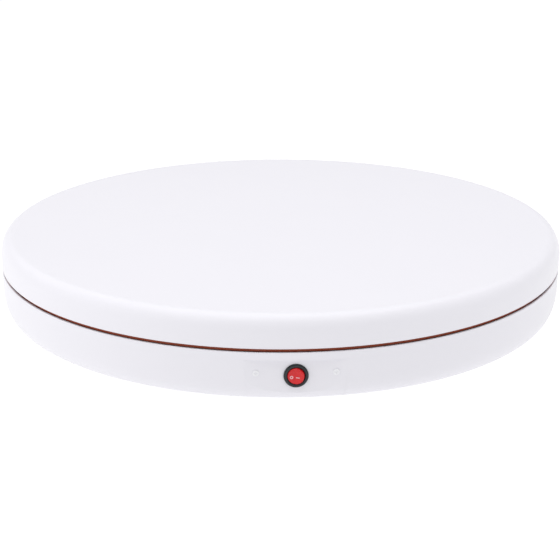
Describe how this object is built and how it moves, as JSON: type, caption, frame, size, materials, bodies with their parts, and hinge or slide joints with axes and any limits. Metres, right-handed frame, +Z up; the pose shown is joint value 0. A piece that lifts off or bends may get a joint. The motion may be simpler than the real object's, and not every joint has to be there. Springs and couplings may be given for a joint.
{
  "type": "motorised display turntable",
  "caption": "Low round display turntable: white cover turning on a white bowl-shaped base, open seam between them, red round rocker switch at the front.",
  "frame": {"origin": "on the disc's axis, at the level of the surface the feet stand on", "axes": "+Z up along the disc's axis, -Y towards the switch, +Y towards the cord gland, +X to the right seen from the switch side"},
  "size_m": [0.6, 0.6034, 0.087],
  "materials": {
    "cover_white": "smooth gloss white ABS",
    "base_white": "smooth gloss white ABS",
    "fibreboard": "red-brown faced fibreboard",
    "steel_screw": "zinc-plated",
    "cast_alloy": "satin",
    "track_steel": "rolled",
    "rim_plastic": "moulded",
    "bearing_steel": "ground",
    "cage_brass": "satin",
    "nylon": "moulded nylon",
    "bracket_steel": "zinc-plated sheet",
    "motor_can": "zinc-plated can",
    "rubber_black": "matte",
    "switch_black": "semi-gloss",
    "rocker_red": "gloss, slightly see-through",
    "mark_white": "print",
    "terminal_brass": "bright",
    "guard_black": "moulded",
    "screw_white": "white coated screw head",
    "lead_black": "soft PVC sheath"
  },
  "bodies": {
    "base": {"base_shell": "base_white", "base_board": "fibreboard", "rubber_feet": "rubber_black", "foot_screws": "steel_screw", "spindle": "cast_alloy", "spindle_screws": "steel_screw", "spindle_washer": "steel_screw", "spindle_nut": "steel_screw", "bearing_inner_ring": "bearing_steel", "roller_brackets": "bracket_steel", "bracket_screws": "steel_screw", "roller_axles": "steel_screw", "motor_can": "motor_can", "gearbox": "cast_alloy", "motor_standoffs": "steel_screw", "motor_screws": "steel_screw", "switch_housing": "switch_black", "switch_terminals": "terminal_brass", "switch_guard": "guard_black", "guard_screws": "screw_white", "cable_gland": "switch_black", "gland_nut": "guard_black", "terminal_block": "nylon", "terminal_screws": "terminal_brass", "switch_lead": "lead_black", "motor_lead": "lead_black"},
    "turntable": {"top_cover": "cover_white", "load_board": "fibreboard", "cover_screws": "steel_screw", "hub_housing": "cast_alloy", "hub_screws": "steel_screw", "bearing_outer_ring": "bearing_steel", "roller_track": "track_steel", "track_screws": "steel_screw", "drive_rim": "rim_plastic", "drive_rim_screws": "steel_screw"},
    "drive_wheel": {"output_shaft": "bearing_steel", "drive_wheel_hub": "nylon", "drive_tyre": "rubber_black", "drive_set_screw": "steel_screw"},
    "ball_cage": {"bearing_cage": "cage_brass", "bearing_balls": "bearing_steel"},
    "rocker": {"switch_rocker": "rocker_red", "rocker_marks": "mark_white"},
    "support_roller_1": {"roller_1": "nylon"},
    "support_roller_2": {"roller_2": "nylon"},
    "support_roller_3": {"roller_3": "nylon"},
    "support_roller_4": {"roller_4": "nylon"},
    "support_roller_5": {"roller_5": "nylon"},
    "support_roller_6": {"roller_6": "nylon"},
    "support_roller_7": {"roller_7": "nylon"},
    "support_roller_8": {"roller_8": "nylon"}
  },
  "joints": [
    {"name": "disc_spin", "type": "hinge", "parent": "base", "child": "turntable", "pos_m": [0, 0, 0.046], "axis": [0, 0, 1], "continuous": true},
    {"name": "drive_wheel_spin", "type": "hinge", "parent": "base", "child": "drive_wheel", "pos_m": [-0.13884, -0.05053, 0.046], "axis": [0, 0, 1], "continuous": true},
    {"name": "ball_cage_spin", "type": "hinge", "parent": "base", "child": "ball_cage", "pos_m": [0, 0, 0.046], "axis": [0, 0, 1], "continuous": true},
    {"name": "roller_1_spin", "type": "hinge", "parent": "base", "child": "support_roller_1", "pos_m": [0.21711, 0.08993, 0.03845], "axis": [0.9239, 0.3827, 0], "continuous": true},
    {"name": "roller_2_spin", "type": "hinge", "parent": "base", "child": "support_roller_2", "pos_m": [0.08993, 0.21711, 0.03845], "axis": [0.3827, 0.9239, 0], "continuous": true},
    {"name": "roller_3_spin", "type": "hinge", "parent": "base", "child": "support_roller_3", "pos_m": [-0.08993, 0.21711, 0.03845], "axis": [-0.3827, 0.9239, 0], "continuous": true},
    {"name": "roller_4_spin", "type": "hinge", "parent": "base", "child": "support_roller_4", "pos_m": [-0.21711, 0.08993, 0.03845], "axis": [-0.9239, 0.3827, 0], "continuous": true},
    {"name": "roller_5_spin", "type": "hinge", "parent": "base", "child": "support_roller_5", "pos_m": [-0.21711, -0.08993, 0.03845], "axis": [-0.9239, -0.3827, 0], "continuous": true},
    {"name": "roller_6_spin", "type": "hinge", "parent": "base", "child": "support_roller_6", "pos_m": [-0.08993, -0.21711, 0.03845], "axis": [-0.3827, -0.9239, 0], "continuous": true},
    {"name": "roller_7_spin", "type": "hinge", "parent": "base", "child": "support_roller_7", "pos_m": [0.08993, -0.21711, 0.03845], "axis": [0.3827, -0.9239, 0], "continuous": true},
    {"name": "roller_8_spin", "type": "hinge", "parent": "base", "child": "support_roller_8", "pos_m": [0.21711, -0.08993, 0.03845], "axis": [0.9239, -0.3827, 0], "continuous": true},
    {"name": "rocker_hinge", "type": "hinge", "parent": "base", "child": "rocker", "pos_m": [0, -0.29679, 0.0305], "axis": [0, 0, 1], "range_deg": [0, 20]}
  ],
  "couplings": [
    {"joint": "drive_wheel_spin", "follows": "disc_spin", "ratio": 7.7273},
    {"joint": "ball_cage_spin", "follows": "disc_spin", "ratio": 0.6182},
    {"joint": "roller_1_spin", "follows": "disc_spin", "ratio": -16.786},
    {"joint": "roller_2_spin", "follows": "disc_spin", "ratio": -16.786},
    {"joint": "roller_3_spin", "follows": "disc_spin", "ratio": -16.786},
    {"joint": "roller_4_spin", "follows": "disc_spin", "ratio": -16.786},
    {"joint": "roller_5_spin", "follows": "disc_spin", "ratio": -16.786},
    {"joint": "roller_6_spin", "follows": "disc_spin", "ratio": -16.786},
    {"joint": "roller_7_spin", "follows": "disc_spin", "ratio": -16.786},
    {"joint": "roller_8_spin", "follows": "disc_spin", "ratio": -16.786}
  ]
}
